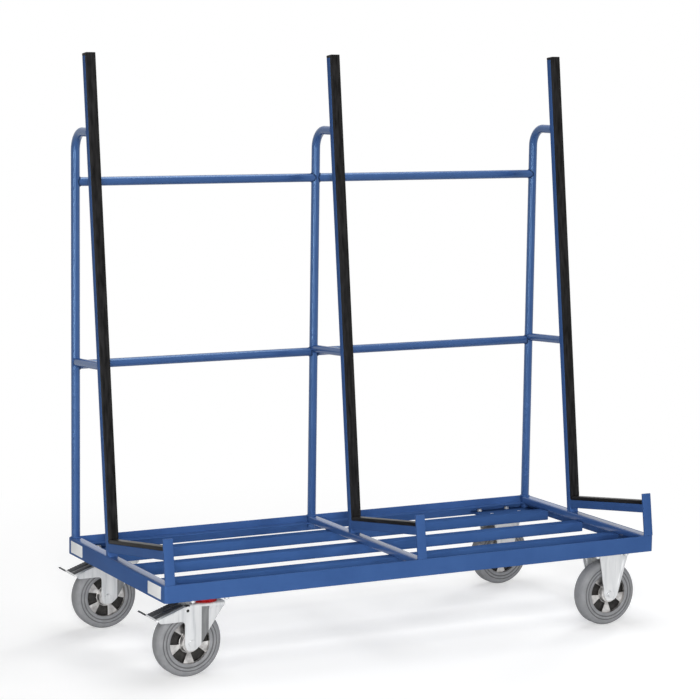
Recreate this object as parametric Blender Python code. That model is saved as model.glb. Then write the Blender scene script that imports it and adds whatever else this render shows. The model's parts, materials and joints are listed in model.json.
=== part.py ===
# One-sided panel trolley: a wheeled steel base, three posts and three leaning rubber-faced supports.
# Units are metres, +Z is up, +X runs along the base and -Y is the loading side.
import math

import bpy
import bmesh
from mathutils import Vector

for old in list(bpy.data.objects):
    bpy.data.objects.remove(old, do_unlink=True)

# Fit between pieces that touch, and running clearance of turning fits
FIT = 0.0003
RUN = 0.0001

# Wheel size, which sets how high the base rim stands
WHEEL_RADIUS = 0.100
HEAD_ROOM = 0.0265

# Base rim
BASE_LENGTH = 1.650
BASE_WIDTH = 0.720
RIM_HEIGHT = 0.050
RIM_TOP = 2 * WHEEL_RADIUS + HEAD_ROOM + RIM_HEIGHT
SHEET = 0.003
FLANGE_DEPTH = 0.030
CROSS_WIDTH = 0.030
CROSS_HEIGHT = 0.020
TUBE_WALL = 0.002
RIM_BOTTOM = RIM_TOP - RIM_HEIGHT
FLANGE_TOP = RIM_HEIGHT - CROSS_HEIGHT - FIT

# Slats along the base
SLAT_DEPTH = 0.040
SLAT_PITCH = 0.2 * BASE_WIDTH / 0.720

# Wheels and casters
TYRE_WIDTH = 0.050
RIM_RADIUS = 0.66 * WHEEL_RADIUS
HUB_RADIUS = 0.026
AXLE_RADIUS = 0.006
LEG_SHEET = 0.004
LEG_GAP = 0.060
FORK_HALF = LEG_GAP / 2 + LEG_SHEET
HUB_HALF = LEG_GAP / 2 - 0.0005
PLATE_LENGTH = 0.135
PLATE_WIDTH = 0.102
PLATE_THICK = 0.0055
PAD_REACH = 0.080
PAD_THICK = 0.006
CASTER_INSET_X = 0.145
FIXED_INSET_X = 0.141
CASTER_INSET_Y = 0.056
TRAIL = 0.053
CROWN_TOP = RIM_BOTTOM - 0.0145
CROWN_THICK = 0.005
KING_RADIUS = 0.008
SEAL_RADIUS = 0.038
STUD_RADIUS = 0.004
PEDAL_REACH = 0.110
PEDAL_HALF = 0.040
PEDAL_THICK = 0.006
PEDAL_GAP = 0.0006
PEDAL_SLOPE = math.radians(19.4)
PEDAL_PIVOT_X = -0.012
PEDAL_PIVOT_Z = CROWN_TOP - 0.017
PEDAL_LIFT = 0.0125
EAR_SHEET = 0.003
EAR_OUT = LEG_GAP / 2 - 0.0008
WING_REACH = 0.055
WING_DEPTH = 0.014
WING_THICK = 0.0025

# Supports
LEAN = math.radians(7.2)
FOOT_TILT = math.radians(8.2)
SUPPORT_WIDTH = 0.030
UPRIGHT_FRONT = 0.036
UPRIGHT_TOP = 1.740
UPRIGHT_DEPTH = 0.021
RUBBER = 0.011
RUBBER_GAP = 0.001
CAP_THICK = 0.008
FOOT_HEIGHT = 0.026
FOOT_TOP_RISE = 0.0525
STOP_THICK = 0.006
STOP_RISE = 0.129
POST_RADIUS = 0.01345
FLANGE_LIP = 0.0005
POST_INSET = SHEET + FLANGE_LIP + FIT + POST_RADIUS
BEND_RADIUS = 0.058
BEND_TOP = 1.506
BAR_RADIUS = 0.01345
UPPER_BAR = 1.356
LOWER_BAR = 0.806
BRACE_RADIUS = 0.0125
BRACE_AT_POST = LOWER_BAR + 0.009
BRACE_AT_UPRIGHT = LOWER_BAR + 0.021
TUBE_SIDES = 20

# The pedals reach past the left end and their wings past the rear side,
# so the base stands off the middle by half of those reaches
OVERHANG = PEDAL_REACH - (CASTER_INSET_X - TRAIL)
WING_OVERHANG = PEDAL_HALF + WING_REACH - CASTER_INSET_Y
BASE_X = OVERHANG / 2
BASE_Y = -WING_OVERHANG / 2
LEFT_END = BASE_X - BASE_LENGTH / 2
RIGHT_END = BASE_X + BASE_LENGTH / 2
FRONT = BASE_Y - BASE_WIDTH / 2
REAR = BASE_Y + BASE_WIDTH / 2
SUPPORT_X = {"left": LEFT_END + POST_INSET, "middle": BASE_X, "right": RIGHT_END - POST_INSET}
POST_Y = REAR - POST_INSET


def make_material(name, colour, roughness, metallic):
    material = bpy.data.materials.new(name)
    material.use_nodes = True
    shader = material.node_tree.nodes["Principled BSDF"]
    shader.inputs["Base Color"].default_value = (*colour, 1.0)
    shader.inputs["Roughness"].default_value = roughness
    shader.inputs["Metallic"].default_value = metallic
    return material


BLUE = make_material("blue_paint", (0.055, 0.125, 0.310), 0.38, 0.0)
BLACK = make_material("black_rubber", (0.014, 0.013, 0.013), 0.55, 0.0)
ZINC = make_material("zinc_steel", (0.72, 0.73, 0.74), 0.30, 1.0)
ALLOY = make_material("cast_alloy", (0.66, 0.67, 0.68), 0.42, 1.0)
TYRE_GREY = make_material("grey_tyre", (0.19, 0.19, 0.20), 0.70, 0.0)
SEAL_RED = make_material("red_seal", (0.55, 0.020, 0.015), 0.45, 0.0)
PEDAL_DARK = make_material("dark_pedal", (0.060, 0.062, 0.066), 0.50, 0.0)


def finish_mesh(mesh):
    work = bmesh.new()
    work.from_mesh(mesh)
    bmesh.ops.remove_doubles(work, verts=work.verts, dist=0.000002)
    bmesh.ops.recalc_face_normals(work, faces=work.faces)
    work.to_mesh(mesh)
    work.free()
    mesh.update()


def add_object(name, verts, faces, material, origin=(0.0, 0.0, 0.0)):
    origin = Vector(origin)
    mesh = bpy.data.meshes.new(name)
    mesh.from_pydata([tuple(Vector(v) - origin) for v in verts], [], faces)
    finish_mesh(mesh)
    mesh.materials.append(material)
    obj = bpy.data.objects.new(name, mesh)
    obj.location = origin
    bpy.context.scene.collection.objects.link(obj)
    return obj


def loft(rings, bores=None):
    """Joins equal rings of points into a closed skin; bores are the matching inner rings of a tube."""
    count = len(rings[0])
    verts = []
    faces = []
    for skin in [rings] + ([bores] if bores else []):
        base = len(verts)
        for ring in skin:
            verts.extend(ring)
        for level in range(len(skin) - 1):
            for side in range(count):
                nxt = (side + 1) % count
                low = base + level * count
                faces.append((low + side, low + nxt, low + count + nxt, low + count + side))
    last = (len(rings) - 1) * count
    if bores:
        shift = len(rings) * count
        for level in (0, last):
            for side in range(count):
                nxt = (side + 1) % count
                faces.append((level + side, level + nxt, shift + level + nxt, shift + level + side))
    else:
        faces.append(tuple(range(count)))
        faces.append(tuple(range(last, last + count)))
    return verts, faces


def circle(radius, sides=TUBE_SIDES):
    step = 2 * math.pi / sides
    return [(radius * math.cos((i + 0.5) * step), radius * math.sin((i + 0.5) * step)) for i in range(sides)]


def rectangle(low_a, low_b, high_a, high_b):
    return [(low_a, low_b), (high_a, low_b), (high_a, high_b), (low_a, high_b)]


def extrude_x(outline, low, high):
    """Outline of (y, z) points pulled along X."""
    return loft([[(low, y, z) for y, z in outline], [(high, y, z) for y, z in outline]])


def extrude_y(outline, low, high):
    """Outline of (x, z) points pulled along Y."""
    return loft([[(x, low, z) for x, z in outline], [(x, high, z) for x, z in outline]])


def extrude_z(outline, low, high):
    """Outline of (x, y) points pulled along Z."""
    return loft([[(x, y, low) for x, y in outline], [(x, y, high) for x, y in outline]])


def lathe_y(profile, sides, centre):
    """Closed profile of (radius, y) points turned about the Y axis through centre."""
    step = 2 * math.pi / sides
    rings = []
    for radius, along in profile:
        ring = []
        for i in range(sides):
            angle = (i + 0.5) * step - math.pi / 2
            ring.append((centre[0] + radius * math.cos(angle), centre[1] + along,
                         centre[2] + radius * math.sin(angle)))
        rings.append(ring)
    verts = [point for ring in rings for point in ring]
    faces = []
    for level in range(len(rings)):
        after = (level + 1) % len(rings)
        for side in range(sides):
            nxt = (side + 1) % sides
            faces.append((level * sides + side, level * sides + nxt, after * sides + nxt, after * sides + side))
    return verts, faces


def merge_shapes(shapes):
    verts = []
    faces = []
    for shape_verts, shape_faces in shapes:
        base = len(verts)
        verts.extend(shape_verts)
        faces.extend(tuple(base + i for i in face) for face in shape_faces)
    return verts, faces


def carve(obj, shape, operation="DIFFERENCE"):
    """Cuts the shape out of the object, or joins it on, and keeps the result as the object's mesh."""
    tool = add_object("cutter", shape[0], shape[1], obj.data.materials[0])
    tool.hide_render = True
    tool.display_type = "WIRE"
    modifier = obj.modifiers.new("carve", "BOOLEAN")
    modifier.operation = operation
    modifier.solver = "EXACT"
    modifier.object = tool
    bpy.context.view_layer.update()
    graph = bpy.context.evaluated_depsgraph_get()
    result = bpy.data.meshes.new_from_object(obj.evaluated_get(graph))
    obj.modifiers.clear()
    obj.data = result
    finish_mesh(result)
    bpy.data.objects.remove(tool, do_unlink=True)


# Base rim: folded rails with an inner flange, mitred at the corners
def rail_section():
    low = FLANGE_TOP - SHEET
    return [(0, 0), (SHEET, 0), (SHEET, low), (FLANGE_DEPTH, low), (FLANGE_DEPTH, FLANGE_TOP),
            (SHEET, FLANGE_TOP), (SHEET, RIM_HEIGHT), (0, RIM_HEIGHT)]


MITRE = 0.0002


def long_rail(name, face_y, inward):
    rings = []
    for end, along in ((LEFT_END, 1), (RIGHT_END, -1)):
        rings.append([(end + along * (a + MITRE), face_y + inward * a, RIM_BOTTOM + b) for a, b in rail_section()])
    return add_object(name, *loft(rings), BLUE)


def end_rail(name, face_x, inward):
    rings = []
    for end, along in ((FRONT, 1), (REAR, -1)):
        rings.append([(face_x + inward * a, end + along * (a + MITRE), RIM_BOTTOM + b) for a, b in rail_section()])
    return add_object(name, *loft(rings), BLUE)


def post_notch(middle):
    """Opening in the flange that a post passes through."""
    half = POST_RADIUS + FIT
    outline = rectangle(middle - half, REAR - FLANGE_DEPTH - 0.001, middle + half, REAR - SHEET - FLANGE_LIP)
    top = RIM_BOTTOM + FLANGE_TOP
    return extrude_z(outline, top - SHEET - 0.001, top + 0.001)


long_rail("front_rail", FRONT, 1)
rear_rail = long_rail("rear_rail", REAR, -1)
left_rail = end_rail("left_end_rail", LEFT_END, 1)
right_rail = end_rail("right_end_rail", RIGHT_END, -1)
carve(rear_rail, merge_shapes([post_notch(middle) for middle in SUPPORT_X.values()]))
carve(left_rail, post_notch(SUPPORT_X["left"]))
carve(right_rail, post_notch(SUPPORT_X["right"]))

# Cross-members: flat tubes level with the top of the rim, from the front rail back to the posts
MEMBER_X = {"left": LEFT_END + SHEET + FIT + CROSS_WIDTH / 2,
            "middle": BASE_X,
            "right": RIGHT_END - SHEET - FIT - CROSS_WIDTH / 2}
CLEAR_FRONT = FRONT + SHEET + FIT
CLEAR_REAR = REAR - SHEET - FIT
MEMBER_END = POST_Y - POST_RADIUS - FIT
for place, middle in MEMBER_X.items():
    half = CROSS_WIDTH / 2
    outer = rectangle(middle - half, RIM_TOP - CROSS_HEIGHT, middle + half, RIM_TOP)
    inner = rectangle(middle - half + TUBE_WALL, RIM_TOP - CROSS_HEIGHT + TUBE_WALL,
                      middle + half - TUBE_WALL, RIM_TOP - TUBE_WALL)
    skins = []
    for outline in (outer, inner):
        skins.append([[(x, y, z) for x, z in outline] for y in (CLEAR_FRONT, MEMBER_END)])
    add_object("cross_member_" + place, *loft(skins[0], skins[1]), BLUE)

# Slats: inverted channels; the outer two carry a pad in each corner, above the caster plates
PLATE_TOP = RIM_BOTTOM + PLATE_THICK
PAD_LOW = PLATE_TOP + FIT
PAD_HIGH = PAD_LOW + PAD_THICK
CASTER_X = {"left": LEFT_END + CASTER_INSET_X, "right": RIGHT_END - FIXED_INSET_X}
PAD_SPANS = ((LEFT_END + SHEET + FIT, CASTER_X["left"] + PAD_REACH),
             (CASTER_X["right"] - PAD_REACH, RIGHT_END - SHEET - FIT))


def slat_section(middle):
    low = middle - SLAT_DEPTH / 2
    high = middle + SLAT_DEPTH / 2
    bottom = RIM_BOTTOM
    top = RIM_BOTTOM + FLANGE_TOP
    return [(low, bottom), (low + TUBE_WALL, bottom), (low + TUBE_WALL, top - TUBE_WALL),
            (high - TUBE_WALL, top - TUBE_WALL), (high - TUBE_WALL, bottom), (high, bottom), (high, top), (low, top)]


SLAT_LEFT = LEFT_END + FLANGE_DEPTH + FIT
SLAT_RIGHT = RIGHT_END - FLANGE_DEPTH - FIT
for place, step in (("front", -1), ("middle", 0), ("rear", 1)):
    slat_y = BASE_Y + step * SLAT_PITCH
    slat = add_object("slat_" + place, *extrude_x(slat_section(slat_y), SLAT_LEFT, SLAT_RIGHT), BLUE)
    if step:
        joint_y = slat_y + step * (SLAT_DEPTH - TUBE_WALL) / 2
        low_y, high_y = sorted((joint_y, CLEAR_FRONT if step < 0 else CLEAR_REAR))
        pads = [extrude_z(rectangle(low, low_y, high, high_y), PAD_LOW, PAD_HIGH) for low, high in PAD_SPANS]
        carve(slat, merge_shapes(pads), "UNION")


# Supports: lines in the Y-Z plane, held as a normal (y, z) and an offset
def cross_point(first, second):
    (a, b), c = first
    (d, e), f = second
    det = a * e - b * d
    return ((c * e - b * f) / det, (a * f - c * d) / det)


def upright_line(depth):
    """Plane of the upright, depth behind the rubber's front face."""
    normal = (math.cos(LEAN), -math.sin(LEAN))
    return normal, (BASE_Y + UPRIGHT_FRONT) * normal[0] + RIM_TOP * normal[1] + depth


def foot_line(drop):
    """Plane of the foot, drop below the foot rubber's top face."""
    normal = (math.sin(FOOT_TILT), math.cos(FOOT_TILT))
    start = cross_point(upright_line(0), level_line(RIM_TOP + FOOT_TOP_RISE))
    return normal, start[0] * normal[0] + start[1] * normal[1] - drop


def stop_line(depth):
    """Plane of the front stop, depth behind its front face."""
    normal = (math.cos(FOOT_TILT), -math.sin(FOOT_TILT))
    return normal, FRONT * normal[0] + RIM_TOP * normal[1] + depth


def level_line(height):
    return (0.0, 1.0), height


def upright_end(drop):
    """Plane square to the upright, drop below its highest corner."""
    normal = (math.sin(LEAN), math.cos(LEAN))
    corner = cross_point(upright_line(RUBBER + FIT + UPRIGHT_DEPTH), level_line(UPRIGHT_TOP - 0.0045))
    top = cross_point(upright_line(0), level_line(UPRIGHT_TOP))
    reach = max(corner[0] * normal[0] + corner[1] * normal[1], top[0] * normal[0] + top[1] * normal[1])
    return normal, reach - drop


def stop_end():
    normal = (math.sin(FOOT_TILT), math.cos(FOOT_TILT))
    corner = cross_point(stop_line(0), level_line(RIM_TOP + STOP_RISE))
    return normal, corner[0] * normal[0] + corner[1] * normal[1]


TUBE_FRONT = RUBBER + FIT
TUBE_REAR = TUBE_FRONT + UPRIGHT_DEPTH
SEAT = level_line(RIM_TOP + FIT)


def hollow_slab(name, front, rear, start, end, middle):
    """Rectangular tube between two planes, with its ends on the start and end planes."""
    half = SUPPORT_WIDTH / 2
    skins = []
    for wall in (0.0, TUBE_WALL):
        sides = ((front[0], front[1] + wall), (rear[0], rear[1] - wall))
        rings = []
        for plane in (start, end):
            near = cross_point(sides[0], plane)
            far = cross_point(sides[1], plane)
            rings.append([(middle - half + wall, *near), (middle + half - wall, *near),
                          (middle + half - wall, *far), (middle - half + wall, *far)])
        skins.append(rings)
    return add_object(name, *loft(skins[0], skins[1]), BLUE)


def post_rings(middle, radius):
    """Rings of a post that rises from pad height, bends forward and ends on the upright's rear plane."""
    outline = circle(radius)
    rings = [[(middle + a, POST_Y + b, PAD_HIGH + FIT) for a, b in outline]]
    centre_y = POST_Y - BEND_RADIUS
    centre_z = BEND_TOP - BEND_RADIUS
    steps = 6
    for i in range(steps + 1):
        angle = i / steps * math.pi / 2
        rings.append([(middle + a, centre_y + (BEND_RADIUS + b) * math.cos(angle),
                       centre_z + (BEND_RADIUS + b) * math.sin(angle)) for a, b in outline])
    end = []
    for a, b in outline:
        height = BEND_TOP + b
        end.append((middle + a, cross_point(upright_line(TUBE_REAR + FIT), level_line(height))[0], height))
    rings.append(end)
    return rings


def cope(offset, mitre):
    """Distance from the post's axis at which a tube line at this sideways offset meets the post."""
    reach = POST_RADIUS + 2 * FIT
    saddle = math.sqrt(reach * reach - offset * offset)
    return max(saddle, abs(offset) + FIT) if mitre else saddle


def brace_rings(middle, radius):
    """Rings of a brace from the post to the upright's rear plane, rising forward."""
    near = cross_point(upright_line(TUBE_REAR + FIT), level_line(BRACE_AT_UPRIGHT))[0]
    slope = math.atan2(BRACE_AT_UPRIGHT - BRACE_AT_POST, POST_Y - near)
    rear_ring = []
    front_ring = []
    normal, offset = upright_line(TUBE_REAR + FIT)
    for a, b in circle(radius):
        start = (POST_Y + b * math.sin(slope), BRACE_AT_POST + b * math.cos(slope))
        along = (cope(a, True) + b * math.sin(slope)) / math.cos(slope)
        rear_ring.append((middle + a, start[0] - along * math.cos(slope), start[1] + along * math.sin(slope)))
        gap = start[0] * normal[0] + start[1] * normal[1] - offset
        travel = gap / (math.cos(slope) * normal[0] - math.sin(slope) * normal[1])
        front_ring.append((middle + a, start[0] - travel * math.cos(slope), start[1] + travel * math.sin(slope)))
    return [rear_ring, front_ring]


def bar_rings(left, right, height, radius, mitred):
    rings = []
    for end, along in ((left, 1), (right, -1)):
        rings.append([(end + along * cope(a, mitred and a < 0), POST_Y + a, height + b) for a, b in circle(radius)])
    return rings


for place, middle in SUPPORT_X.items():
    low_x = middle - SUPPORT_WIDTH / 2
    high_x = middle + SUPPORT_WIDTH / 2
    post = post_rings(middle, POST_RADIUS)
    post_bore = post_rings(middle, POST_RADIUS - TUBE_WALL)
    add_object("post_" + place, *loft(post, post_bore), BLUE)
    hollow_slab("upright_" + place, upright_line(TUBE_FRONT), upright_line(TUBE_REAR),
                SEAT, upright_end(CAP_THICK + FIT), middle)
    rail_top = foot_line(RUBBER + FIT)
    face = [cross_point(upright_line(0), foot_line(-RUBBER_GAP)),
            cross_point(upright_line(0), upright_end(0)),
            cross_point(upright_line(TUBE_REAR), upright_end(0)),
            cross_point(upright_line(TUBE_REAR), upright_end(CAP_THICK)),
            cross_point(upright_line(RUBBER), upright_end(CAP_THICK)),
            cross_point(upright_line(RUBBER), foot_line(RUBBER - RUBBER_GAP))]
    add_object("upright_rubber_" + place, *extrude_x(face, low_x, high_x), BLACK)
    hollow_slab("foot_rail_" + place, stop_line(STOP_THICK + FIT), upright_line(TUBE_FRONT - FIT),
                foot_line(RUBBER + FIT + FOOT_HEIGHT), rail_top, middle)
    pad = [cross_point(upright_line(-FIT), foot_line(0)), cross_point(upright_line(RUBBER - FIT), foot_line(RUBBER)),
           cross_point(stop_line(STOP_THICK + FIT), foot_line(RUBBER)),
           cross_point(stop_line(STOP_THICK + FIT), foot_line(0))]
    add_object("foot_rubber_" + place, *extrude_x(pad, low_x, high_x), BLACK)
    stop = [cross_point(stop_line(0), SEAT), cross_point(stop_line(0), stop_end()),
            cross_point(stop_line(STOP_THICK), stop_end()), cross_point(stop_line(STOP_THICK), SEAT)]
    add_object("front_stop_" + place, *extrude_x(stop, low_x, high_x), BLUE)
    brace = brace_rings(middle, BRACE_RADIUS)
    add_object("brace_" + place, *loft(brace, brace_rings(middle, BRACE_RADIUS - TUBE_WALL)), BLUE)

for level, height, mitred in (("upper", UPPER_BAR, False), ("lower", LOWER_BAR, True)):
    for bay, left, right in (("left", "left", "middle"), ("right", "middle", "right")):
        ends = (SUPPORT_X[left], SUPPORT_X[right], height)
        bar = bar_rings(*ends, BAR_RADIUS, mitred)
        bore = bar_rings(*ends, BAR_RADIUS - TUBE_WALL, mitred)
        add_object(level + "_bar_" + bay, *loft(bar, bore), BLUE)


# Wheels: spoked alloy rims with pockets, grey tyres with flats that stand on the floor
WHEEL_SIDES = 36
POCKETS = 5
POCKET_WEB = 0.005
POCKET_EDGE = 0.0055
POCKET_INNER_HALF = math.radians(26)
POCKET_OUTER_HALF = math.radians(20.5)
WHEEL_PHASE = {"left_rear": math.radians(23)}


def pocket_cutters(centre, phase):
    shapes = []
    turn = 2 * math.pi / POCKETS
    inner = HUB_RADIUS + 0.005
    outer = RIM_RADIUS - POCKET_EDGE
    for side in (-1, 1):
        for i in range(POCKETS):
            mid = math.pi / 2 + phase + i * turn
            outline = []
            arcs = ((inner, POCKET_INNER_HALF, (-1, 0, 1)), (outer, POCKET_OUTER_HALF, (1, 0.5, 0, -0.5, -1)))
            for radius, half, sweep in arcs:
                for s in sweep:
                    angle = mid + s * half
                    outline.append((centre[0] + radius * math.cos(angle), centre[2] + radius * math.sin(angle)))
            ends = sorted((centre[1] + side * POCKET_WEB, centre[1] + side * TYRE_WIDTH))
            shapes.append(extrude_y(outline, *ends))
    return merge_shapes(shapes)


def make_wheel(tag, centre):
    bore = AXLE_RADIUS + RUN
    half = TYRE_WIDTH / 2
    disc = half - 0.009
    lip = half - 0.002
    profile = [(bore, -HUB_HALF), (HUB_RADIUS, -HUB_HALF), (HUB_RADIUS + 0.003, -disc),
               (RIM_RADIUS - POCKET_EDGE, -disc), (RIM_RADIUS - 0.004, -lip), (RIM_RADIUS, -lip)]
    full = profile + [(radius, -along) for radius, along in reversed(profile)]
    rim = add_object("wheel_rim_" + tag, *lathe_y(full, WHEEL_SIDES, centre), ALLOY, centre)
    carve(rim, pocket_cutters(centre, WHEEL_PHASE.get(tag, 0.0)))
    flat = 1 / math.cos(math.pi / WHEEL_SIDES)
    seat = RIM_RADIUS + FIT
    tread = WHEEL_RADIUS * flat
    side = [(seat, -half), (tread - 0.012, -half), (tread - 0.004, -half + 0.004), (tread, -half + 0.012)]
    full = side + [(radius, -along) for radius, along in reversed(side)]
    add_object("tyre_" + tag, *lathe_y(full, WHEEL_SIDES, centre), TYRE_GREY, centre)


def make_axle(tag, centre):
    """Bolt with a hexagon at each end, clear of the fork's outer faces."""
    sides = 24
    step = 2 * math.pi / sides
    near = FORK_HALF + FIT
    far = near + 0.0075
    flats = 0.0095
    rings = []
    for along, hexagon in ((-far, True), (-near, True), (-near, False), (near, False), (near, True), (far, True)):
        ring = []
        for i in range(sides):
            angle = (i + 0.5) * step
            radius = flats / math.cos((angle % (math.pi / 3)) - math.pi / 6) if hexagon else AXLE_RADIUS
            ring.append((centre[0] + radius * math.cos(angle - math.pi / 2), centre[1] + along,
                         centre[2] + radius * math.sin(angle - math.pi / 2)))
        rings.append(ring)
    add_object("axle_" + tag, *loft(rings), ZINC, centre)


def drum_y(centre, radius, low, high, sides):
    outline = [(centre[0] + a, centre[2] + b) for a, b in circle(radius, sides)]
    return extrude_y(outline, low, high)


def drum_z(centre, radius, low, high, sides):
    outline = [(centre[0] + a, centre[1] + b) for a, b in circle(radius, sides)]
    return extrude_z(outline, low, high)


def rounded_plate(centre, length, width, corner):
    outline = []
    for sx, sy, start in ((1, 1, 0), (-1, 1, 90), (-1, -1, 180), (1, -1, 270)):
        for i in range(4):
            angle = math.radians(start + 30 * i)
            outline.append((centre[0] + sx * (length / 2 - corner) + corner * math.cos(angle),
                            centre[1] + sy * (width / 2 - corner) + corner * math.sin(angle)))
    return outline


CROWN_LOW = CROWN_TOP - CROWN_THICK
SEAL_LOW = CROWN_TOP + FIT
SEAL_HIGH = RIM_BOTTOM - 0.003
HEAD_LOW = CROWN_LOW - 0.0045


def pedal_under(along):
    """Height of the pedal's underside at a distance along X from the axle."""
    return PEDAL_PIVOT_Z + PEDAL_LIFT + (along - PEDAL_PIVOT_X) * math.tan(PEDAL_SLOPE)


def swivel_caster(tag, pivot_x, pivot_y):
    axle = (pivot_x - TRAIL, pivot_y, WHEEL_RADIUS)
    pivot = (pivot_x, pivot_y, CROWN_TOP)
    outline = rounded_plate(pivot, PLATE_LENGTH, PLATE_WIDTH, 0.010)
    plate = add_object("caster_plate_" + tag, *extrude_z(outline, RIM_BOTTOM, PLATE_TOP), ZINC, pivot)
    king = [(0.0125, HEAD_LOW), (0.0125, CROWN_LOW - FIT), (KING_RADIUS, CROWN_LOW - FIT),
            (KING_RADIUS, SEAL_HIGH + FIT), (0.034, SEAL_HIGH + FIT), (0.034, RIM_BOTTOM + 0.002)]
    rings = [[(pivot_x + a, pivot_y + b, z) for a, b in circle(radius, 24)] for radius, z in king]
    carve(plate, loft(rings), "UNION")

    skins = []
    for radius in (SEAL_RADIUS, KING_RADIUS + 0.001):
        skins.append([[(pivot_x + a, pivot_y + b, z) for a, b in circle(radius, 24)] for z in (SEAL_LOW, SEAL_HIGH)])
    add_object("seal_ring_" + tag, *loft(skins[0], skins[1]), SEAL_RED, pivot)

    # Fork, drawn from the axle: two pressed legs with arms along the pedal, under a flat crown
    front_x = TRAIL + 0.051
    crown_x = PEDAL_PIVOT_X + 0.008
    arm_x = 0.008 - PEDAL_REACH
    arm_low = PEDAL_PIVOT_Z - 0.0305
    shape = [(-0.010, WHEEL_RADIUS - 0.0205), (0.010, WHEEL_RADIUS - 0.0205), (0.026, WHEEL_RADIUS - 0.010),
             (front_x, CROWN_LOW - 0.001), (front_x, CROWN_TOP), (crown_x, CROWN_TOP),
             (crown_x, pedal_under(crown_x) - PEDAL_GAP), (arm_x, pedal_under(arm_x) - PEDAL_GAP),
             (arm_x + 0.006, arm_low), (-0.026, arm_low), (-0.019, arm_low - 0.007), (-0.019, WHEEL_RADIUS - 0.010)]
    outline = [(axle[0] + a, b) for a, b in shape]
    fork = add_object("fork_" + tag, *extrude_y(outline, pivot_y - FORK_HALF, pivot_y + FORK_HALF), ZINC, pivot)
    beyond = 0.01
    foot = WHEEL_RADIUS - 0.0205 - beyond
    slot = [(-PEDAL_REACH, foot), (front_x + beyond, foot), (front_x + beyond, CROWN_LOW), (crown_x, CROWN_LOW),
            (crown_x, CROWN_TOP + beyond), (-PEDAL_REACH, CROWN_TOP + beyond)]
    outline = [(axle[0] + a, b) for a, b in slot]
    carve(fork, extrude_y(outline, pivot_y - LEG_GAP / 2, pivot_y + LEG_GAP / 2))
    reach = FORK_HALF + beyond
    carve(fork, drum_y(axle, AXLE_RADIUS + FIT, pivot_y - reach, pivot_y + reach, 24))
    carve(fork, drum_z(pivot, KING_RADIUS + RUN, CROWN_LOW - beyond, CROWN_TOP + beyond, 24))
    hinge = (axle[0] + PEDAL_PIVOT_X, pivot_y, PEDAL_PIVOT_Z)
    studs = []
    for side in (-1, 1):
        ends = sorted((pivot_y + side * (EAR_OUT - EAR_SHEET - 0.0004), pivot_y + side * (FORK_HALF - 0.002)))
        studs.append(drum_y(hinge, STUD_RADIUS, *ends, 16))
    carve(fork, merge_shapes(studs), "UNION")

    # Pedal: a sloping tread plate with a side wing, hung on the studs by two ears inside the fork
    thick = PEDAL_THICK / math.cos(PEDAL_SLOPE)
    tip = -PEDAL_REACH
    top_end = PEDAL_PIVOT_X - 0.006
    shape = [(top_end, 0.0), (top_end, thick), (tip, thick), (tip, 0.0)]
    outline = [(axle[0] + a, pedal_under(a) + b) for a, b in shape]
    pedal = add_object("pedal_" + tag, *extrude_y(outline, pivot_y - PEDAL_HALF, pivot_y + PEDAL_HALF), PEDAL_DARK,
                       hinge)
    ear_top = pedal_under(PEDAL_PIVOT_X - 0.016) + 0.002 - PEDAL_PIVOT_Z
    shape = [(-0.012, -0.006), (0.0, -0.0085), (0.0065, -0.005), (0.0065, 0.0055), (-0.0065, 0.0125),
             (-0.016, ear_top), (-0.0145, 0.0)]
    outline = [(hinge[0] + a, hinge[2] + b) for a, b in shape]
    ears = []
    for side in (-1, 1):
        ends = sorted((pivot_y + side * (EAR_OUT - EAR_SHEET), pivot_y + side * EAR_OUT))
        ears.append(extrude_y(outline, *ends))
    carve(pedal, merge_shapes(ears), "UNION")
    inset = 0.0005
    shape = [(tip + inset, inset), (tip + WING_DEPTH, inset), (tip + WING_DEPTH, inset + WING_THICK),
             (tip + inset, inset + WING_THICK)]
    outline = [(axle[0] + a, pedal_under(a) + b) for a, b in shape]
    wing_y = pivot_y + PEDAL_HALF
    carve(pedal, extrude_y(outline, wing_y - 0.002, wing_y + WING_REACH), "UNION")
    carve(pedal, drum_y(hinge, STUD_RADIUS + RUN, pivot_y - PEDAL_HALF, pivot_y + PEDAL_HALF, 16))
    make_axle(tag, axle)
    make_wheel(tag, axle)


def fixed_caster(tag, axle_x, axle_y):
    """Bracket whose far leg is its near leg turned half round about the vertical."""
    axle = (axle_x, axle_y, WHEEL_RADIUS)
    top = RIM_BOTTOM + 0.002 - WHEEL_RADIUS
    shape = [(-0.010, -0.0205), (0.014, -0.0205), (0.026, -0.010), (0.064, top), (-0.040, top), (-0.0185, -0.009)]
    outline = [(axle[0] + a, axle[2] + b) for a, b in shape]
    turned = [(axle[0] - a, axle[2] + b) for a, b in reversed(shape)]
    bracket = add_object("bracket_" + tag, *extrude_y(outline, axle_y - FORK_HALF, axle_y), ZINC, axle)
    carve(bracket, extrude_y(turned, axle_y - 0.001, axle_y + FORK_HALF), "UNION")
    plate = rounded_plate(axle, PLATE_LENGTH, PLATE_WIDTH, 0.010)
    carve(bracket, extrude_z(plate, RIM_BOTTOM, PLATE_TOP), "UNION")
    slot = rectangle(axle[0] - PLATE_LENGTH, WHEEL_RADIUS - 0.03, axle[0] + PLATE_LENGTH, RIM_BOTTOM - 0.003)
    carve(bracket, extrude_y(slot, axle_y - LEG_GAP / 2, axle_y + LEG_GAP / 2))
    reach = FORK_HALF + 0.01
    carve(bracket, drum_y(axle, AXLE_RADIUS + FIT, axle_y - reach, axle_y + reach, 24))
    make_axle(tag, axle)
    make_wheel(tag, axle)


for row, side_y in (("front", FRONT + CASTER_INSET_Y), ("rear", REAR - CASTER_INSET_Y)):
    swivel_caster("left_" + row, CASTER_X["left"], side_y)
    fixed_caster("right_" + row, CASTER_X["right"], side_y)
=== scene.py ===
import json
import math

import bmesh
import bpy
from mathutils import Matrix, Vector, noise
from mathutils.geometry import delaunay_2d_cdt


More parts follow.
